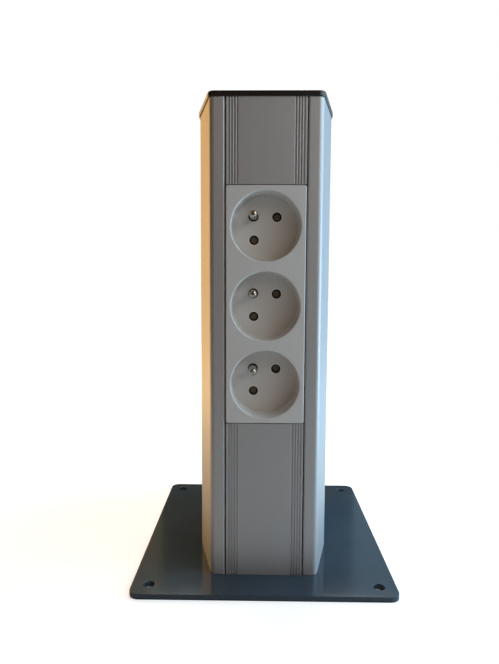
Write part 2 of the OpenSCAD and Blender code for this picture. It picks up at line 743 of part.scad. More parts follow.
module earth_pin_2() earth_pin(2);

module earth_pin_3() earth_pin(3);

// Two-lobed shutter: each lobe covers one live hole and swings clear of it
module shutter(n) color([0.42, 0.33, 0.27])
    translate([0, 0, gang_z(n)]) slab(shutter_y0, shutter_y1) difference() {
        union() {
            circle(d = hub_bore_d + 2 * hub_wall);
            rotate(90 - socket_turn) square([pin_spacing, arm_w], center = true);
            for (s = [-1, 1]) translate([s * live_x, s * live_z]) circle(r = lobe_r);
        }
        circle(d = hub_bore_d);
    }

module shutter_1() shutter(1);

module shutter_2() shutter(2);

module shutter_3() shutter(3);

// Coil round the hub pin, a fixed leg in the carrier's slot and a leg that presses on the shutter's arm
module shutter_spring(n) color([0.6, 0.6, 0.62])
    translate([0, 0, gang_z(n)]) {
        difference() {
            rod(0, 0, coil_y0, coil_y0 + spring_l, 2 * coil_r + spring_wire_d);
            rod(0, 0, coil_y0 - over, coil_y0 + spring_l + over, 2 * coil_r - spring_wire_d);
        }
        for (leg = [[moving_leg_a, spring_reach], [fixed_leg_a, fixed_leg_r]])
            rotate([0, -leg[0], 0]) translate([coil_r, leg_y, 0]) rotate([0, 90, 0])
                cylinder(d = spring_wire_d, h = leg[1] - coil_r);
        rotate([0, -moving_leg_a, 0])
            rod(spring_reach, 0, shutter_y0 + lap, leg_y + spring_wire_d / 2, spring_wire_d);
    }

module shutter_spring_1() shutter_spring(1);

module shutter_spring_2() shutter_spring(2);

module shutter_spring_3() shutter_spring(3);

module terminal_clamps() color([0.8, 0.65, 0.35])
    for (c = clamps) difference() {
        block([c[0] - clamp_w / 2, c[1], clamp_z0], [c[0] + clamp_w / 2, bar_y0, clamp_z1]);
        translate([c[0], wire_y, clamp_z0 - over]) cylinder(d = wire_hole_d, h = clamp_h + 2 * over);
        rod(c[0], clamp_z, wire_y, bar_y0 + over, terminal_screw_d + 2 * fit);
    }

module terminal_screws() color("silver")
    for (c = clamps) difference() {
        union() {
            rod(c[0], clamp_z, wire_y + core_d / 2 + snap_gap, rear_in + lap, terminal_screw_d);
            rod(c[0], clamp_z, rear_in + 2 * fit, rear_y1 - drop_gap, terminal_head_d);
        }
        block([c[0] - terminal_head_d, rear_y1 - drop_gap - slot[2], clamp_z - slot[1] / 2],
            [c[0] + terminal_head_d, rear_y1 + over, clamp_z + slot[1] / 2]);
    }

module housing_screws() color("silver")
    strip_screws() difference() {
        union() {
            rod(0, 0, floor_y1 - strip_screw_grip, rear_y1 - lap, strip_screw_d);
            rod(0, 0, rear_y1 - strip_screw_head_h, rear_y1, strip_screw_head_d);
        }
        for (a = [0, 90]) rotate([0, a, 0])
            block([-slot[0] / 2, rear_y1 - slot[2], -slot[1] / 2],
                [slot[0] / 2, rear_y1 + over, slot[1] / 2]);
    }

// Spring clip on the body's side: a flat back and a tongue that catches behind the return wall
module side_clips() color("silver")
    for (s = [-1, 1], n = [1, gangs]) translate([0, 0, gang_z(n) - clip_w / 2]) linear_extrude(clip_w) {
        y0 = face_y + return_d + snap_gap;
        y1 = y0 + clip_l;
        bend_l = 2.5;
        tip_h = 0.6;
        handed(s, [[body_hw, y0 - over], [body_hw + clip_t, y0 - over], [body_hw + clip_t, y1 - bend_l],
            [hook_reach - clip_t, y0 + tip_h * 2 / 3], [hook_reach - clip_t, y0], [hook_reach, y0],
            [hook_reach, y0 + tip_h], [body_hw + 2 * clip_t, y1], [body_hw, y1]]);
    }

base_plate();
base_screws();
power_grommet();
data_grommet();
earth_stud();
earth_washer();
earth_nut();
earth_lead();
post_profile();
end_cap();
upper_cover();
lower_cover();
rear_cover();
socket_front();
recess_cup_1();
recess_cup_2();
recess_cup_3();
contact_carrier();
rear_housing();
live_bar();
neutral_bar();
earth_bar();
earth_pin_1();
earth_pin_2();
earth_pin_3();
shutter_1();
shutter_2();
shutter_3();
shutter_spring_1();
shutter_spring_2();
shutter_spring_3();
terminal_clamps();
terminal_screws();
housing_screws();
side_clips();
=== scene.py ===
import bmesh
import bpy
import json
import math
from mathutils import Matrix, Vector


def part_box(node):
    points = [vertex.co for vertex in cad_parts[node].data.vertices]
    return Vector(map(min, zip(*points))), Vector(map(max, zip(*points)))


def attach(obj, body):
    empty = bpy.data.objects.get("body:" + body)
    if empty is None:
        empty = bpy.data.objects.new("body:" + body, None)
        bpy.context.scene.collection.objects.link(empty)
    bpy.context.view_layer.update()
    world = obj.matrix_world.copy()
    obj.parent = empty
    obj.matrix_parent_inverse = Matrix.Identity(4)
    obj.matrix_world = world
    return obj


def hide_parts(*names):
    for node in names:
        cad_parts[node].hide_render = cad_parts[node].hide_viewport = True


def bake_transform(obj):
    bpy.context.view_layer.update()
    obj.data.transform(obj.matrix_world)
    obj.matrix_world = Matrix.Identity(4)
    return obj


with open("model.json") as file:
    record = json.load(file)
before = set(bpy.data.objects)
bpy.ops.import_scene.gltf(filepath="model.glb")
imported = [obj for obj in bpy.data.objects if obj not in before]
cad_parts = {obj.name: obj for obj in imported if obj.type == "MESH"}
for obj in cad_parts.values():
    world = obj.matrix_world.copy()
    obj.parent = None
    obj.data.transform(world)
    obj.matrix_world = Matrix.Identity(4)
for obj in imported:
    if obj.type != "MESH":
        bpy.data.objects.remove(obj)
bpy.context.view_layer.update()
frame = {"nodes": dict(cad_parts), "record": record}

mm = 0.001
parts = frame["nodes"]
print("frame loaded:", len(parts), "nodes")

# What a user may change is in one dictionary for each piece or finish, beside the code that uses it.
# Lengths there are in millimetres and angles in degrees

hair, touch, closeBy = 1e-6, 1e-5, 1e-4  # tolerances in metres: same level, same face, close to it
weldReach = 0.002  # points of a copied node closer than this are one point
flatWithin, smoothBelow = 0.5, 32  # edges flatter than these go, or are shaded smooth
parallel, upright = 0.99, 0.1  # an edge's least share along its axis, the most that a wall's normal rises
past = 1  # how far a cutter goes past the face that it opens


# Working helpers

def pickUp(obj):
    bpy.ops.object.select_all(action="DESELECT")
    obj.select_set(True)
    bpy.context.view_layer.objects.active = obj
    return obj


def settle(obj):
    # the object goes back to the origin, with its place in its mesh
    pickUp(obj)
    bpy.ops.object.transform_apply(location=True, rotation=True, scale=True)
    return obj


def named(obj, name):
    obj.name = obj.data.name = name
    return obj


def openEdit(obj, kind="VERT"):
    pickUp(obj)
    bpy.ops.object.mode_set(mode="EDIT")
    bpy.ops.mesh.select_mode(type=kind)
    bpy.ops.mesh.select_all(action="DESELECT")
    return bmesh.from_edit_mesh(obj.data)


def closeEdit():
    bpy.ops.object.mode_set(mode="OBJECT")


def bevelEdges(obj, test, width, steps):
    # the test is given both ends of an edge and the edge
    mesh = openEdit(obj, "EDGE")
    for edge in mesh.edges:
        a, b = edge.verts[0].co, edge.verts[1].co
        edge.select_set(bool(test(a, b, edge)))
    bmesh.update_edit_mesh(obj.data)
    bpy.ops.mesh.bevel(offset=width * mm, segments=steps, affect="EDGES", clamp_overlap=False)
    closeEdit()


def along(a, b, axis):
    d = b - a
    return abs(d[axis]) > parallel * d.length


def level(a, b, axis=2):
    return abs(a[axis] - b[axis]) < hair


def sharp(edge, angle=60):
    return edge.calc_face_angle(0) > math.radians(angle)


def useModifier(obj, kind, **settings):
    pickUp(obj)
    modifier = obj.modifiers.new(kind.title(), kind)
    for key, value in settings.items():
        setattr(modifier, key, value)
    bpy.ops.object.modifier_apply(modifier=modifier.name)
    return obj


def join(target, tool, how):
    # how is UNION or DIFFERENCE; the tool is used up
    useModifier(target, "BOOLEAN", operation=how, solver="EXACT", object=tool)
    bpy.data.objects.remove(tool)


def smoothByAngle(obj):
    # smooth over gentle angles, with the flat faces kept flat beside their rounded edges
    pickUp(obj)
    bpy.ops.object.shade_smooth_by_angle(angle=math.radians(smoothBelow))
    return useModifier(obj, "WEIGHTED_NORMAL", keep_sharp=True, weight=60)


def block(low, high):
    centre = [(a + b) / 2 * mm for a, b in zip(low, high)]
    bpy.ops.mesh.primitive_cube_add(size=1, location=centre)
    obj = bpy.context.active_object
    obj.scale = [(b - a) * mm for a, b in zip(low, high)]
    return settle(obj)


def roundBar(radius, near, far, x, z, sides):
    # a round bar along the depth, from y near to y far
    bpy.ops.mesh.primitive_cylinder_add(vertices=sides, radius=radius * mm, depth=(far - near) * mm,
                                        location=(x * mm, (near + far) / 2 * mm, z * mm),
                                        rotation=(math.radians(90), 0, 0))
    return settle(bpy.context.active_object)


def quarterTurn(steps):
    return [math.radians(90 * step / steps) for step in range(1, steps + 1)]


def drawOutTop(obj, radius, outline):
    # the round top face is drawn out through radii and heights above it; the piece stays in edit mode
    mesh = openEdit(obj, "FACE")
    top = max(mesh.faces, key=lambda f: f.calc_center_median().z)
    top.select_set(True)
    base, height = top.calc_center_median().z, 0
    bmesh.update_edit_mesh(obj.data)
    for newRadius, newHeight in outline:
        rise = (newHeight - height) * mm
        bpy.ops.mesh.extrude_region_move(TRANSFORM_OT_translate={"value": (0, 0, rise)})
        bpy.ops.transform.resize(value=(newRadius / radius, newRadius / radius, 1),
                                 center_override=(0, 0, base + newHeight * mm))
        radius, height = newRadius, newHeight


def flaredCutter(mouth, floor, depth, flare, fillet, sides, steps=5):
    # a round tool that stands on z = -depth and opens at z = 0, with a rounded mouth and floor
    bpy.ops.mesh.primitive_cone_add(vertices=sides, radius1=floor * mm, radius2=mouth * mm,
                                    depth=(depth - flare) * mm,
                                    location=(0, 0, -(depth + flare) / 2 * mm))
    tool = settle(bpy.context.active_object)
    if fillet:
        bevelEdges(tool, lambda a, b, e: max(a.z, b.z) < touch - depth * mm, fillet, steps=6)
    outline = [(mouth + flare * (1 - math.cos(turn)), flare * math.sin(turn)) for turn in quarterTurn(steps)]
    drawOutTop(tool, mouth, outline + [(mouth + flare, flare + past)])
    closeEdit()
    return tool


def holeCutter(radius, depth, flare, sides=48, steps=3):
    return flaredCutter(radius, radius, depth, flare, 0, sides, steps)


def placeAt(obj, place, tilt=(90, 0, 0)):
    # what stands on the z axis is tilted to face the front, or as the tilt says
    obj.rotation_euler = [math.radians(a) for a in tilt]
    obj.location = [v * mm for v in place]
    return settle(obj)


def mergedCopy(node, name):
    # the CAD node's shape as one clean welded mesh, without the frame's own marks
    copy = parts[node].copy()
    copy.data = parts[node].data.copy()
    copy.parent = None
    for key in list(copy.keys()):
        del copy[key]
    bpy.context.scene.collection.objects.link(copy)
    openEdit(copy)
    bpy.ops.mesh.select_all(action="SELECT")
    bpy.ops.mesh.customdata_custom_splitnormals_clear()
    bpy.ops.mesh.remove_doubles(threshold=weldReach * mm)
    bpy.ops.mesh.dissolve_limited(angle_limit=math.radians(flatWithin))
    closeEdit()
    return named(copy, name)


# Shader helpers: a Field is a value in a node tree, and arithmetic on it adds Math nodes

def shade(colour, factor):
    return tuple(c * factor for c in colour)


def weighed(first, second, share):
    # the first has this share of the sum, and the second the rest
    return first * share + second * (1 - share)


class Field:
    def __init__(self, recipe, socket):
        self.recipe, self.socket = recipe, socket

    def __add__(self, other):
        return self.recipe.maths("ADD", self, other)

    def __sub__(self, other):
        return self.recipe.maths("SUBTRACT", self, other)

    def __rsub__(self, other):
        return self.recipe.maths("SUBTRACT", other, self)

    def __mul__(self, other):
        return self.recipe.maths("MULTIPLY", self, other)

    __radd__, __rmul__ = __add__, __mul__


class Recipe:
    def __init__(self, nodeTree):
        self.nodeTree = nodeTree

    def add(self, kind, settings=None, sockets=None, out=0):
        # one node: its settings first, then the values or links of its sockets
        node = self.nodeTree.nodes.new("ShaderNode" + kind)
        for key, value in (settings or {}).items():
            if key == "stops":
                self.setStops(node.color_ramp, value)
            else:
                setattr(node, key, value)
        for key, value in (sockets or {}).items():
            self.feed(node.inputs[key], value)
        return Field(self, node.outputs[out])

    def feed(self, target, value):
        if isinstance(value, Field):
            self.nodeTree.links.new(value.socket, target)
        elif hasattr(target.default_value, "__len__") and not hasattr(value, "__len__"):
            target.default_value = [value] * len(target.default_value)
        elif hasattr(value, "__len__") and len(value) == 3 and len(target.default_value) == 4:
            target.default_value = (*value, 1)
        else:
            target.default_value = value

    def setStops(self, ramp, stops):
        while len(ramp.elements) > 1:
            ramp.elements.remove(ramp.elements[-1])
        for i, (place, value) in enumerate(stops):
            stop = ramp.elements[0] if i == 0 else ramp.elements.new(place)
            stop.position, stop.color = place, (value, value, value, 1)

    def maths(self, operation, *values):
        return self.add("Math", {"operation": operation}, dict(enumerate(values)))

    def split(self, vector):
        axes = self.add("SeparateXYZ", {}, {"Vector": vector}).socket.node
        return [Field(self, output) for output in axes.outputs]

    def span(self, value, low, high, start=0, end=1, smooth=False):
        # start up to the value low, end from the value high, and a ramp between them
        kind = "SMOOTHSTEP" if smooth else "LINEAR"
        return self.add("MapRange", {"interpolation_type": kind},
                        {"Value": value, "From Min": low, "From Max": high, "To Min": start, "To Max": end})

    def coords(self, stretch=(1, 1, 1)):
        spot = self.add("TexCoord", out=3)
        return self.add("Mapping", {}, {"Vector": spot, "Scale": stretch})

    def noise(self, scale, stretch=(1, 1, 1), detail=3, roughness=0.5):
        return self.add("TexNoise", {}, {"Vector": self.coords(stretch), "Scale": scale,
                                         "Detail": detail, "Roughness": roughness})

    def blend(self, mask, dark, light):
        return self.add("Mix", {"data_type": "RGBA"}, {0: mask, 6: dark, 7: light}, out=2)

    def shades(self, mask, colour, spread):
        # the colour times the spread's first number where the mask is 0, and its second where it is 1
        return self.blend(mask, shade(colour, spread[0]), shade(colour, spread[1]))

    def bump(self, height, strength, distance):
        return self.add("Bump", {}, {"Height": height, "Strength": strength, "Distance": distance * mm})


def newFinish(name, colour, roughness, metallic=0.0, **sockets):
    # an empty material with its even values set on the shader itself
    material = bpy.data.materials.new(name)
    material.use_nodes = True
    shader = material.node_tree.nodes["Principled BSDF"]
    shader.inputs["Base Color"].default_value = (*colour, 1)
    shader.inputs["Roughness"].default_value = roughness
    shader.inputs["Metallic"].default_value = metallic
    for key, value in sockets.items():
        shader.inputs[key].default_value = value
    return material, Recipe(material.node_tree), shader.inputs


# Drawn profiles: faint lines along their length, satin, with a little uneven etch
drawnGrain = {"metallic": 0.5, "spread": (0.93, 1.07), "lineStretch": (1, 1, 0.004), "lineShare": 0.6,
              "etchScale": 90, "etchStretch": (1, 1, 0.35), "grainScale": 5200, "grainShare": 0.3,
              "relief": 0.35, "depth": 0.02, "roughLess": 0.05, "roughByLines": 0.06, "roughByEtch": 0.04}
anodisedSpec = {**drawnGrain, "colour": (0.45, 0.453, 0.458), "roughness": 0.48, "lineScale": 2200}
coverSpec = {**drawnGrain, "colour": (0.43, 0.434, 0.44), "roughness": 0.5, "lineScale": 1800}


def anodised(name, spec):
    material, recipe, inputs = newFinish(name, spec["colour"], spec["roughness"], spec["metallic"])
    lines = recipe.noise(spec["lineScale"], spec["lineStretch"], detail=4, roughness=0.6)
    etch = recipe.noise(spec["etchScale"], spec["etchStretch"], detail=2)
    grain = recipe.noise(spec["grainScale"], detail=2)
    mask = weighed(lines, etch, spec["lineShare"])
    recipe.feed(inputs["Base Color"], recipe.shades(mask, spec["colour"], spec["spread"]))
    recipe.feed(inputs["Roughness"], spec["roughness"] - spec["roughLess"] + lines * spec["roughByLines"]
                + etch * spec["roughByEtch"])
    height = weighed(grain, lines, spec["grainShare"])
    recipe.feed(inputs["Normal"], recipe.bump(height, spec["relief"], spec["depth"]))
    return material


# Cured powder: orange peel, fine grain and a few duller clouds
powderSpec = {"colour": (0.043, 0.063, 0.083), "roughness": 0.11, "ior": 1.4, "spread": (0.85, 1.15),
              "cloudScale": 28, "peelScale": 900, "peelShare": 0.8, "grainScale": 4200, "relief": 0.3,
              "depth": 0.03, "roughLess": 0.04, "roughByClouds": 0.08, "roughByGrain": 0.03}


def cloudedRoughness(spec, clouds, grain):
    start = spec["roughness"] - spec["roughLess"]
    return start + clouds * spec["roughByClouds"] + grain * spec["roughByGrain"]


def powderCoat(name, spec):
    material, recipe, inputs = newFinish(name, spec["colour"], spec["roughness"], IOR=spec["ior"])
    peel = recipe.noise(spec["peelScale"], detail=2, roughness=0.4)
    clouds = recipe.noise(spec["cloudScale"])
    grain = recipe.noise(spec["grainScale"], detail=1)
    recipe.feed(inputs["Base Color"], recipe.shades(clouds, spec["colour"], spec["spread"]))
    recipe.feed(inputs["Roughness"], cloudedRoughness(spec, clouds, grain))
    height = weighed(peel, grain, spec["peelShare"])
    recipe.feed(inputs["Normal"], recipe.bump(height, spec["relief"], spec["depth"]))
    return material


# Injection moulding: even colour with a faint cloud, and a fine mould texture
mouldGrain = {"spread": (0.97, 1.03), "cloudScale": 35, "relief": 0.4, "roughLess": 0.03,
              "roughByClouds": 0.03, "roughByGrain": 0.03}
polished = {**mouldGrain, "grainScale": 600, "depth": 0.006}
eroded = {**mouldGrain, "grainScale": 1500, "depth": 0.02}
socketSpec = {**polished, "colour": (0.63, 0.63, 0.625), "roughness": 0.26}
# the cups' plastic is the socket plastic painted paler, a painted light inside the recesses
cupLitFinishSpec = {**polished, "colour": (0.75, 0.745, 0.73), "roughness": 0.22, "ringInner": 2.82,
                 # painted highlight: the ring values pale the rounded edge of each live hole
                 "ringOuter": 3.2, "ringStart": 0.1, "ringFade": 0.4, "highlightTint": 1.22}
capSpec = {**mouldGrain, "colour": (0.013, 0.013, 0.013), "roughness": 0.2, "grainScale": 2600,
           "depth": 0.03}
housingSpec = {**eroded, "colour": (0.5, 0.5, 0.49), "roughness": 0.45}
carrierSpec = {**eroded, "colour": (0.03, 0.03, 0.032), "roughness": 0.5}
rubberSpec = {**mouldGrain, "colour": (0.012, 0.012, 0.012), "roughness": 0.7, "grainScale": 1800,
              "depth": 0.03}

# Where the live holes are: two in each gang, at opposite corners round its middle
holeSpec = {"offset": 6.718, "pitch": 45, "middle": 162.7}


def liveHoleReach(recipe, spec):
    # distance from the axis of the nearest live hole, in millimetres
    x, _, z = recipe.split(recipe.coords())
    half = spec["pitch"] / 2
    height = recipe.maths("WRAP", z * (1 / mm) - spec["middle"], half, -half)
    side = recipe.maths("SIGN", x)
    across = x * side * (1 / mm) - spec["offset"]
    up = height * side - spec["offset"]
    return recipe.maths("SQRT", across * across + up * up)


def paintedHighlightRing(recipe, spec):
    # a thin ring on the rounded edge of each live hole, where a painted highlight goes
    reach = liveHoleReach(recipe, holeSpec)
    inner = recipe.span(reach, spec["ringInner"], spec["ringInner"] + spec["ringStart"])
    outer = recipe.span(reach, spec["ringOuter"], spec["ringOuter"] + spec["ringFade"])
    return inner * (1 - outer)


def moulded(name, spec):
    # where the spec has a ring, a painted highlight makes the plastic paler on the rounded edge of each live
    # hole
    material, recipe, inputs = newFinish(name, spec["colour"], spec["roughness"])
    clouds = recipe.noise(spec["cloudScale"], detail=2)
    grain = recipe.noise(spec["grainScale"], detail=2, roughness=0.6)
    body = recipe.shades(clouds, spec["colour"], spec["spread"])
    if "highlightTint" in spec:
        # painted highlight: a paler ring on each live hole's rounded edge
        body = recipe.blend(paintedHighlightRing(recipe, spec), body, shade(spec["colour"], spec["highlightTint"]))
    recipe.feed(inputs["Base Color"], body)
    recipe.feed(inputs["Roughness"], cloudedRoughness(spec, clouds, grain))
    recipe.feed(inputs["Normal"], recipe.bump(grain, spec["relief"], spec["depth"]))
    return material


# Dark moulding, grey-brown in a disc behind each live hole, with painted near-black shade round each disc
# that darkens the edge of each hole
shutterSpec = {"dark": (0.005, 0.004, 0.003), "pale": (0.13, 0.105, 0.072), "roughness": 0.45,
               "inner": 1.6, "outer": 2.0, "grainScale": 1500, "relief": 0.4, "depth": 0.02,
               "smootherInDisc": 0.12, "roughByGrain": 0.05}


def shadeRingShutter(name, spec):
    material, recipe, inputs = newFinish(name, spec["dark"], spec["roughness"])
    reach = liveHoleReach(recipe, holeSpec)
    # painted shade: outside the disc behind each live hole the shutter is near-black, so each hole has a dark
    # shaded edge
    unshadedDisc = recipe.span(reach, spec["inner"], spec["outer"], 1, 0, smooth=True)
    grain = recipe.noise(spec["grainScale"], detail=2, roughness=0.6)
    recipe.feed(inputs["Base Color"], recipe.blend(unshadedDisc, spec["dark"], spec["pale"]))
    recipe.feed(inputs["Roughness"], spec["roughness"] - unshadedDisc * spec["smootherInDisc"]
                + grain * spec["roughByGrain"])
    recipe.feed(inputs["Normal"], recipe.bump(grain, spec["relief"], spec["depth"]))
    return material


# Small metal parts: slight stain, fine scratches
metalGrain = {"spread": (0.82, 1.08), "stainScale": 700, "markScale": 3000, "markStretch": (1, 0.1, 1),
              "relief": 0.2, "depth": 0.01, "roughLess": 0.06, "roughByStain": 0.1, "roughByMarks": 0.04}
nickelSpec = {**metalGrain, "colour": (0.52, 0.48, 0.42), "roughness": 0.1}
brassSpec = {**metalGrain, "colour": (0.62, 0.43, 0.16), "roughness": 0.3}
zincSpec = {**metalGrain, "colour": (0.55, 0.56, 0.58), "roughness": 0.32}
steelSpec = {**metalGrain, "colour": (0.38, 0.38, 0.4), "roughness": 0.28}


def plated(name, spec):
    material, recipe, inputs = newFinish(name, spec["colour"], spec["roughness"], 1.0)
    stain = recipe.noise(spec["stainScale"], detail=4, roughness=0.6)
    marks = recipe.noise(spec["markScale"], spec["markStretch"], detail=2)
    recipe.feed(inputs["Base Color"], recipe.shades(stain, spec["colour"], spec["spread"]))
    recipe.feed(inputs["Roughness"], spec["roughness"] - spec["roughLess"] + stain * spec["roughByStain"]
                + marks * spec["roughByMarks"])
    recipe.feed(inputs["Normal"], recipe.bump(marks, spec["relief"], spec["depth"]))
    return material


# Green lead with a yellow stripe that winds round it
stripeSpec = {"green": (0.03, 0.17, 0.02), "yellow": (0.62, 0.5, 0.03), "roughness": 0.42,
              "perHeight": 420, "perSide": 900, "edges": (0.45, 0.55), "grainScale": 300,
              "roughLess": 0.04, "roughByGrain": 0.08}


def stripedInsulation(name, spec):
    material, recipe, inputs = newFinish(name, spec["green"], spec["roughness"])
    side, _, height = recipe.split(recipe.coords())
    wave = recipe.maths("SINE", height * spec["perHeight"] + side * spec["perSide"])
    start, end = spec["edges"]
    stripe = recipe.add("ValToRGB", {"stops": [(start, 0.0), (end, 1.0)]}, {0: wave * 0.5 + 0.5})
    recipe.feed(inputs["Base Color"], recipe.blend(stripe, spec["green"], spec["yellow"]))
    grain = recipe.noise(spec["grainScale"])
    recipe.feed(inputs["Roughness"], spec["roughness"] - spec["roughLess"] + grain * spec["roughByGrain"])
    return material


# One finish for each material slot of the record, and the cups' own: a paler copy of the socket plastic,
# painted lighter to stand in for light inside the recesses
finishes = {
    "anodised": anodised("anodisedProfile", anodisedSpec),
    "cover_anodised": anodised("anodisedCover", coverSpec),
    "powder_coat": powderCoat("powderCoat", powderSpec),
    "socket_plastic": moulded("socketPlastic", socketSpec),
    "cup_lit_plastic": moulded("cupLitPlastic", cupLitFinishSpec),
    "cap_plastic": moulded("capPlastic", capSpec),
    "housing_plastic": moulded("housingPlastic", housingSpec),
    "dark_plastic": moulded("carrierPlastic", carrierSpec),
    "shutter_plastic": shadeRingShutter("shutterPlastic", shutterSpec),
    "rubber": moulded("bushRubber", rubberSpec),
    "nickel": plated("nickelPlate", nickelSpec),
    "brass": plated("stampedBrass", brassSpec),
    "zinc": plated("zincPlate", zincSpec),
    "spring_steel": plated("springSteel", steelSpec),
    "lead_insulation": stripedInsulation("leadInsulation", stripeSpec),
}
print("finishes:", len(finishes))

slotOf = {entry["node"]: entry["material_slot"] for entry in frame["record"]["subparts"]}
bodyOf = {node: body for body, nodes in frame["record"]["behaviour"]["bodies"].items() for node in nodes}


def paint(obj, slotName):
    obj.data.materials.clear()
    obj.data.materials.append(finishes[slotName])
    return obj


def standsFor(obj, name, node):
    # the finished piece takes over a CAD node: name, finish, body
    named(obj, name)
    smoothByAngle(obj)
    paint(obj, slotOf[node])
    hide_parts(node)
    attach(obj, bodyOf[node])
    return obj


for node, obj in parts.items():
    paint(obj, slotOf[node])


def nodeBox(node):
    # the node's lowest and highest corners, in millimetres
    return [[v / mm for v in corner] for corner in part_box(node)]


gangs = (1, 2, 3)  # from the top down
baseLow, baseHigh = nodeBox("base_plate")
postLow, postHigh = nodeBox("post_profile")
stripLow, stripHigh = nodeBox("socket_front")
pitch = (stripHigh[2] - stripLow[2]) / len(gangs)
gangHeights = {n: stripHigh[2] - pitch * (n - 0.5) for n in gangs}

# Base plate: coated steel with softened edges
basePlateSpec = {"cornerRadius": 6, "topRound": 0.5, "underRound": 0.25, "holeRadius": 3.25,
                 "holeInset": 10.4, "holeEdge": 0.45, "cableHole": 14, "cableHoleY": 27,
                 "cableHoleEdge": 0.3, "screwX": 36.5, "screwY": 15, "screwHead": 4, "screwShank": 2.1}


def makeBasePlate(spec):
    plate = block(baseLow, baseHigh)
    under, top = baseLow[2], baseHigh[2]
    bevelEdges(plate, lambda a, b, e: along(a, b, 2), spec["cornerRadius"], steps=12)
    bevelEdges(plate, lambda a, b, e: level(a, b) and a.z > top * mm - touch, spec["topRound"], steps=3)
    bevelEdges(plate, lambda a, b, e: max(a.z, b.z) < under * mm + touch, spec["underRound"], steps=2)
    deep = top - under + 2 * past
    sinkFlare = spec["screwHead"] - spec["screwShank"]
    for x in (-1, 1):
        for y in (-1, 1):
            hole = holeCutter(spec["holeRadius"], deep, spec["holeEdge"])
            place = (x * (baseHigh[0] - spec["holeInset"]), y * (baseHigh[1] - spec["holeInset"]), top)
            join(plate, placeAt(hole, place, (0, 0, 0)), "DIFFERENCE")
            sink = holeCutter(spec["screwShank"], deep, sinkFlare, steps=1)
            place = (x * spec["screwX"], y * spec["screwY"], under)
            join(plate, placeAt(sink, place, (180, 0, 0)), "DIFFERENCE")
    for y in (-1, 1):
        hole = holeCutter(spec["cableHole"], deep, spec["cableHoleEdge"], sides=96, steps=2)
        join(plate, placeAt(hole, (0, y * spec["cableHoleY"], top), (0, 0, 0)), "DIFFERENCE")
    return standsFor(plate, "coatedPlate", "base_plate")


makeBasePlate(basePlateSpec)
print("base plate made")

# Post: the drawn profile with its lip edges eased
postSpec = {"channel": 46.1, "lipEdge": 1.0, "endEdge": 0.35}


def makePost(spec):
    post = mergedCopy("post_profile", "drawnPost")
    face, mouth = postHigh[1] * mm, spec["channel"] / 2 * mm

    def isLip(a, b, e):
        return along(a, b, 2) and abs(abs(a.y) - face) < touch and abs(abs(a.x) - mouth) < closeBy

    bevelEdges(post, isLip, spec["lipEdge"], steps=6)
    corners = [v.co.copy() for v in post.data.vertices]
    ends = (postLow[2] * mm, postHigh[2] * mm)

    def isSawnEnd(a, b, e):
        # the outer edges of both cut ends: nothing of the post lies beyond the wall they belong to
        if not level(a, b) or min(abs(a.z - end) for end in ends) > hair:
            return False
        walls = [f for f in e.link_faces if abs(f.normal.z) < upright]
        return any(max((v - f.verts[0].co).dot(f.normal) for v in corners) < closeBy for f in walls)

    bevelEdges(post, isSawnEnd, spec["endEdge"], steps=2)
    return standsFor(post, "drawnPost", "post_profile")


makePost(postSpec)
print("post made")

# Cover strips: the ribs of each edge are rounded over
ribSpec = {"round": 0.25, "angle": 40}


def makeCover(node, name, spec):
    cover = mergedCopy(node, name)
    face = postHigh[1] * mm

    def isRib(a, b, e):
        return along(a, b, 2) and face - abs(a.y) < closeBy and sharp(e, spec["angle"])

    bevelEdges(cover, isRib, spec["round"], steps=4)
    return standsFor(cover, name, node)


for node, name in (("upper_cover", "upperStrip"), ("lower_cover", "lowerStrip"), ("rear_cover", "rearStrip")):
    makeCover(node, name, ribSpec)
print("cover strips made")

# End cap: flat moulding with a rounded rim
capShape = {"topRound": 0.9, "underRound": 0.3, "halfWidth": 40.5, "halfDepth": 60.5, "rimFrom": 0.7}


def makeCap(spec):
    cap = mergedCopy("end_cap", "mouldedCap")
    top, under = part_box("end_cap")[1].z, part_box("post_profile")[1].z

    def isTop(a, b, e):
        return min(a.z, b.z) > top - touch and sharp(e)

    def isUnder(a, b, e):
        # the rim alone, and not the pegs and tongues that stand in the post
        outer = max(abs(a.x) / (spec["halfWidth"] * mm), abs(a.y) / (spec["halfDepth"] * mm))
        return max(abs(a.z - under), abs(b.z - under)) < touch and outer > spec["rimFrom"] and sharp(e)

    bevelEdges(cap, isTop, spec["topRound"], steps=5)
    bevelEdges(cap, isUnder, spec["underRound"], steps=2)
    return standsFor(cap, "mouldedCap", "end_cap")


makeCap(capShape)
print("end cap made")

# Socket strip: the moulded face, and a cup behind each of its round openings
frontSpec = {"width": 45, "plate": 2.5, "edgeRound": 0.6, "cornerRound": 1.2, "bodyInset": 0.7, "skirt": 1.4,
             "skirtLap": 0.5, "screwX": 18, "boss": 2.55, "bossLap": 0.6, "pilot": 1.4, "seatGap": 0.05}
cupSpec = {"mouth": 19.6, "floor": 19.4, "depth": 16, "mouthRound": 0.75, "floorRound": 0.35, "wall": 0.7,
           "seat": 0.8, "floorThick": 2.3, "hub": 2, "hubLap": 0.6, "liveHole": 2.8, "liveOffset": 6.718,
           "earthHole": 2.9, "earthOffset": 7.071, "holeEdge": 0.4}
stripFront, stripBack = stripLow[1], nodeBox("contact_carrier")[0][1]
plateBack = stripFront + frontSpec["plate"]


def cutRecess(obj, z, spec):
    tool = flaredCutter(spec["mouth"], spec["floor"], spec["depth"], spec["mouthRound"],
                        spec["floorRound"], sides=128)
    join(obj, placeAt(tool, (0, stripFront, z)), "DIFFERENCE")


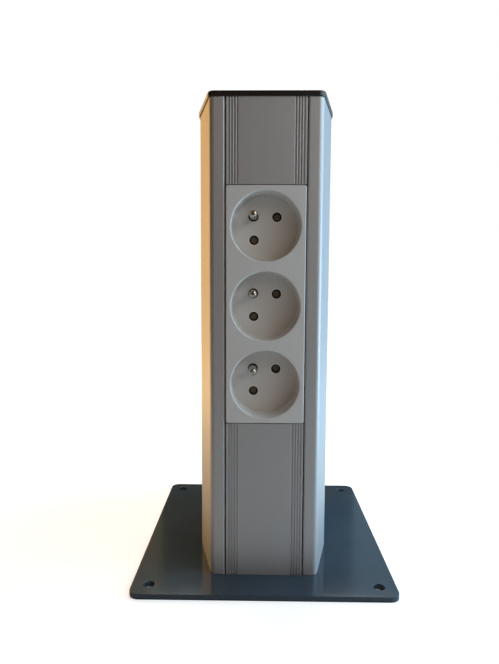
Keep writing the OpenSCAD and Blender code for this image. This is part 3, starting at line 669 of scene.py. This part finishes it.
def makeSocketFront(spec, cup):
    half, bottom, top = spec["width"] / 2, stripLow[2], stripHigh[2]
    plate = block((-half, stripFront, bottom), (half, plateBack, top))
    bevelEdges(plate, lambda a, b, e: along(a, b, 1), spec["cornerRound"], steps=5)
    bevelEdges(plate, lambda a, b, e: max(a.y, b.y) < stripFront * mm + touch, spec["edgeRound"], steps=5)
    side, wall, lap = half - spec["bodyInset"], spec["skirt"], spec["skirtLap"]
    low, high = bottom + spec["bodyInset"], top - spec["bodyInset"]
    skirt = block((-side, plateBack - lap, low), (side, stripBack, high))
    hollow = block((wall - side, plateBack - 2 * lap, low + wall),
                   (side - wall, stripBack + past, high - wall))
    join(skirt, hollow, "DIFFERENCE")
    join(plate, skirt, "UNION")
    for x in (-spec["screwX"], spec["screwX"]):
        for n in gangs[:2]:  # a screw on each side between two gangs
            z = gangHeights[n] - pitch / 2
            boss = roundBar(spec["boss"], plateBack - spec["bossLap"], stripBack, x, z, sides=48)
            join(plate, boss, "UNION")
            pilot = roundBar(spec["pilot"], plateBack + past, stripBack + past, x, z, sides=32)
            join(plate, pilot, "DIFFERENCE")
    seatRadius = cup["mouth"] + cup["wall"] + spec["seatGap"]
    for z in gangHeights.values():
        cutRecess(plate, z, cup)
        seat = roundBar(seatRadius, plateBack - cup["seat"], plateBack + past, 0, z, sides=128)
        join(plate, seat, "DIFFERENCE")
    return standsFor(plate, "socketFront", "socket_front")


def makeCup(n, spec):
    z, node = gangHeights[n], "recess_cup_%d" % n
    floorFront = stripFront + spec["depth"]
    floorBack = floorFront + spec["floorThick"]
    cup = roundBar(spec["mouth"] + spec["wall"], plateBack - spec["seat"], floorBack, 0, z, sides=128)
    hub = roundBar(spec["hub"], floorBack - spec["hubLap"], nodeBox(node)[1][1], 0, z, sides=48)
    join(cup, hub, "UNION")
    cutRecess(cup, z, spec)
    live, earth = spec["liveOffset"], spec["earthOffset"]
    for x, up, radius in ((-live, -live, spec["liveHole"]), (live, live, spec["liveHole"]),
                          (-earth, earth, spec["earthHole"])):
        tool = holeCutter(radius, spec["floorThick"] + past, spec["holeEdge"])
        join(cup, placeAt(tool, (x, floorFront, z + up)), "DIFFERENCE")
    # the cups take the paler copy of the socket plastic, painted light for the recesses
    return paint(standsFor(cup, "recessCup%d" % n, node), "cup_lit_plastic")


makeSocketFront(frontSpec, cupSpec)
for n in gangs:
    makeCup(n, cupSpec)
print("socket strip made")

# Earth pins: turned, with a rounded nose and a small flat at the tip, and a rivet behind the shoulder
pinSpec = {"radius": 2.4, "noseLength": 2.4, "tipRadius": 0.6, "noseSteps": 10, "rivetRadius": 1.5,
           "rivetLap": 0.5, "headRadius": 2.2, "headThick": 0.7}


def makeEarthPin(n, spec):
    node = "earth_pin_%d" % n
    low, high = nodeBox(node)
    x, z = (low[0] + high[0]) / 2, (low[2] + high[2]) / 2
    shoulder = nodeBox("earth_bar")[0][1]
    radius, nose, tip = spec["radius"], spec["noseLength"], spec["tipRadius"]
    bpy.ops.mesh.primitive_cylinder_add(vertices=64, radius=radius * mm,
                                        depth=(shoulder - low[1] - nose) * mm)
    pin = settle(bpy.context.active_object)
    drawOutTop(pin, radius, [(tip + (radius - tip) * math.cos(turn), nose * math.sin(turn))
                             for turn in quarterTurn(spec["noseSteps"])])
    closeEdit()
    placeAt(pin, (x, (low[1] + nose + shoulder) / 2, z))
    headFront = high[1] - spec["headThick"]
    rivet = roundBar(spec["rivetRadius"], shoulder - spec["rivetLap"], headFront, x, z, sides=32)
    join(rivet, roundBar(spec["headRadius"], headFront, high[1], x, z, sides=32), "UNION")
    join(pin, rivet, "UNION")
    return standsFor(pin, "earthPin%d" % n, node)


for n in gangs:
    makeEarthPin(n, pinSpec)
print("earth pins made")

# Shutters: edges eased all round
shutterShape = {"edgeRound": 0.2}


def makeShutter(n, spec):
    node, name = "shutter_%d" % n, "shutterPlate%d" % n
    shutter = mergedCopy(node, name)
    bevelEdges(shutter, lambda a, b, e: level(a, b, 1) and sharp(e), spec["edgeRound"], steps=2)
    return standsFor(shutter, name, node)


# Their springs: in the real socket the pressed leg goes with the shutter, the fixed leg stays, and the coil
# between them winds up; here each keeps the CAD spring's shape, welded, smoothed and finished, where it
# stands
springSpec = {"pressedLegAngle": 14, "fixedLegAngle": -76, "coilRadius": 2.65, "windFrom": 0.85}
hingePlaces = {joint["child"]: Vector(joint["pos_m"]) for joint in frame["record"]["behaviour"]["joints"]}


def makeSpring(n, spec):
    node, shutterBody = "shutter_spring_%d" % n, "shutter_%d" % n
    spring = smoothByAngle(mergedCopy(node, "shutterSpring%d" % n))
    paint(spring, slotOf[node])
    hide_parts(node)
    # points either side of the hinge on the line midway between the legs, where each leg leaves the coil 45
    # degrees from that line, are worked out and not used
    middle = math.radians((spec["pressedLegAngle"] + spec["fixedLegAngle"]) / 2 + 90)
    half = spec["coilRadius"] * math.sqrt(0.5) * spec["windFrom"] * mm
    reach = Vector((math.cos(middle), 0, math.sin(middle))) * half
    place = hingePlaces[shutterBody]
    tuple(place - reach)
    tuple(place + reach)
    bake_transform(spring)
    return spring


for n in gangs:
    makeShutter(n, shutterShape)
    makeSpring(n, springSpec)
print("shutters and springs made")

# Studio: a pale floor, a room of faint light and soft lamps, warm on the left and cool on the right.
# Azimuth 0 is in front of the object and 90 on its right. A lamp's light is how bright its face is, by colour
floorSetup = {"size": 9000, "colour": (0.7, 0.7, 0.7), "roughness": 0.8, "glowNear": 0.62, "glowFar": 1.0,
              "near": 40, "far": 600, "clearFrom": -3, "clearTo": -0.5, "behind": 100, "across": 150}
roomSetup = {"base": (0.01, 0.008, 0.006), "backdropFrom": 0.3, "backdropTo": 0.85, "across": 0.25,
             "bandFrom": 0.12, "bandTo": 0.25, "overBand": 0.12}
behindWarm, behindCool = (0.2, 0.13, 0.06), (0.09, 0.14, 0.18)
roomGlow = [
    {"azimuth": 0, "height": 10, "inner": 5, "outer": 50, "colour": (0.14, 0.06, 0.01)},
    {"azimuth": 180, "height": 75, "inner": 10, "outer": 42, "colour": (0.25, 0.25, 0.25)},
]
lampSpecs = [
    {"name": "warmSide", "azimuth": -127, "distance": 350, "middle": 252, "width": 300, "tall": 500,
     "light": (2.15, 1.2, 0.42)},
    {"name": "warmBack", "azimuth": -150, "distance": 420, "middle": 252, "width": 150, "tall": 500,
     "light": (0.34, 0.26, 0.12)},
    {"name": "warmNear", "azimuth": -100, "distance": 260, "middle": 42, "width": 420, "tall": 76,
     "light": (0.95, 0.66, 0.36)},
    {"name": "coolKey", "azimuth": 52, "distance": 380, "middle": 410, "width": 200, "tall": 300,
     "aim": (0, 0, 190), "light": (2.2, 2.3, 2.3)},
    {"name": "coolFar", "azimuth": 68, "distance": 900, "middle": 760, "width": 500, "tall": 500,
     "light": (0.9, 1.5, 1.7)},
    {"name": "coolSide", "azimuth": 92, "distance": 450, "middle": 280, "width": 360, "tall": 560,
     "light": (1.7, 2.7, 3.7)},
    {"name": "coolBack", "azimuth": 149, "distance": 420, "middle": 252, "width": 180, "tall": 500,
     "light": (0.33, 0.47, 0.56)},
    {"name": "coolNear", "azimuth": 97, "distance": 260, "middle": 42, "width": 420, "tall": 76,
     "light": (0.5, 1.0, 1.35)},
    {"name": "keyLow", "azimuth": 74, "distance": 420, "middle": 125, "width": 300, "tall": 200,
     "light": (1.7, 1.95, 2.15)},
    {"name": "highSoft", "azimuth": 28, "distance": 1000, "middle": 600, "width": 500, "tall": 500,
     "light": (1.45, 1.42, 1.38)},
    {"name": "leftHigh", "azimuth": -40, "distance": 1000, "middle": 700, "width": 400, "tall": 400,
     "light": (0.5, 0.26, 0.1)},
    {"name": "backHigh", "azimuth": 178, "distance": 700, "middle": 800, "width": 600, "tall": 500,
     "aim": (0, 0, 140), "light": (3.2, 3.2, 3.1)},
]


def towards(azimuth, height):
    a, h = math.radians(azimuth), math.radians(height)
    return Vector((math.sin(a) * math.cos(h), -math.cos(a) * math.cos(h), math.sin(h)))


def rayKinds(recipe):
    # 1 where the camera looks, and 1 where metal or glass does
    path = recipe.add("LightPath").socket.node
    seen, mirrored, through = [Field(recipe, path.outputs[name])
                               for name in ("Is Camera Ray", "Is Glossy Ray", "Is Transmission Ray")]
    return seen, mirrored + through


def sideTint(recipe, x, reach):
    # what metal sees behind the object: warm on the left, cool on the right
    return recipe.blend(recipe.span(x, -reach, reach, smooth=True), behindWarm, behindCool)


def makeFloor(spec):
    bpy.ops.mesh.primitive_plane_add(size=spec["size"] * mm, location=(0, 0, 0))
    floor = named(settle(bpy.context.active_object), "studioFloor")
    material, recipe, inputs = newFinish("floorWhite", spec["colour"], spec["roughness"])
    x, y, _ = recipe.split(recipe.coords())
    outX, outY = [recipe.maths("ABSOLUTE", v) * (1 / mm) - half for v, half in zip((x, y), baseHigh)]
    reach = recipe.maths("MAXIMUM", outX, outY)
    # the floor stays dark under the plate, where only its holes show it
    clear = recipe.span(reach, spec["clearFrom"], spec["clearTo"])
    glow = recipe.span(reach, spec["near"], spec["far"], spec["glowNear"], spec["glowFar"], smooth=True)
    behind = recipe.span(y, 0, spec["behind"] * mm)
    seen, inMetal = rayKinds(recipe)
    shown = recipe.blend(seen, sideTint(recipe, x, spec["across"] * mm), (1, 1, 1))
    inputs["Emission Strength"].default_value = 1
    amount = clear * (seen * glow + inMetal * behind)
    recipe.feed(inputs["Emission Color"], recipe.blend(amount, (0, 0, 0), shown))
    floor.data.materials.append(material)


def makeWorld(spec, glows):
    world = bpy.data.worlds.new("studioRoom")
    bpy.context.scene.world = world
    world.use_nodes = True
    recipe = Recipe(world.node_tree)
    x, y, z = recipe.split(recipe.add("TexCoord", out=0))
    room = spec["base"]
    for glow in glows:
        aim = towards(glow["azimuth"], glow["height"])
        facing = x * aim.x + y * aim.y + z * aim.z
        edges = [math.cos(math.radians(glow[edge])) for edge in ("outer", "inner")]
        amount = recipe.span(facing, *edges, smooth=True)
        room = recipe.add("Mix", {"data_type": "RGBA", "blend_type": "ADD"},
                          {0: amount, 6: room, 7: glow["colour"]}, out=2)
    behind = recipe.span(y, spec["backdropFrom"], spec["backdropTo"], smooth=True)
    band = recipe.span(z, spec["bandFrom"], spec["bandTo"], 1, spec["overBand"], smooth=True)
    seen, inMetal = rayKinds(recipe)
    shown = recipe.blend(inMetal * behind * band, room, sideTint(recipe, x, spec["across"]))
    background = world.node_tree.nodes["Background"]
    recipe.feed(background.inputs["Color"], recipe.blend(seen, shown, (1, 1, 1)))


def makeLamp(spec):
    # a soft rectangle that faces the post or its aim, out of the camera's sight
    light = bpy.data.lights.new(spec["name"], "AREA")
    light.shape, light.size, light.size_y = "RECTANGLE", spec["width"] * mm, spec["tall"] * mm
    strength = max(spec["light"])
    light.energy = strength * math.pi * light.size * light.size_y
    light.color = shade(spec["light"], 1 / strength)
    lamp = bpy.data.objects.new(spec["name"], light)
    bpy.context.scene.collection.objects.link(lamp)
    lamp.visible_camera = False
    lamp.location = (towards(spec["azimuth"], 0) * spec["distance"] + Vector((0, 0, spec["middle"]))) * mm
    aim = Vector(spec.get("aim", (0, 0, spec["middle"]))) * mm - lamp.location
    lamp.rotation_euler = aim.to_track_quat("-Z", "Y").to_euler()


# Camera: turn counts to the right and tilt upwards
cameraSetup = {"place": (-4.3, -366.75, 177.22), "lens": 29.28, "sensor": 36, "nearest": 10,
               "farthest": 50000, "turn": -0.867, "tilt": -5.422, "roll": 0.233}


def makeCamera(spec):
    camera = bpy.data.objects.new("photoCamera", bpy.data.cameras.new("photoCamera"))
    bpy.context.scene.collection.objects.link(camera)
    camera.data.lens, camera.data.sensor_width = spec["lens"], spec["sensor"]
    camera.data.clip_start, camera.data.clip_end = spec["nearest"] * mm, spec["farthest"] * mm
    turn = Matrix.Rotation(-math.radians(spec["turn"]), 4, "Z")
    tilt = Matrix.Rotation(math.radians(90 + spec["tilt"]), 4, "X")
    roll = Matrix.Rotation(math.radians(spec["roll"]), 4, "Z")
    camera.matrix_world = Matrix.Translation([v * mm for v in spec["place"]]) @ turn @ tilt @ roll
    bpy.context.scene.camera = camera


makeFloor(floorSetup)
makeWorld(roomSetup, roomGlow)
for lampSpec in lampSpecs:
    makeLamp(lampSpec)
makeCamera(cameraSetup)
bpy.context.scene.view_settings.view_transform = "Standard"
print("studio made")
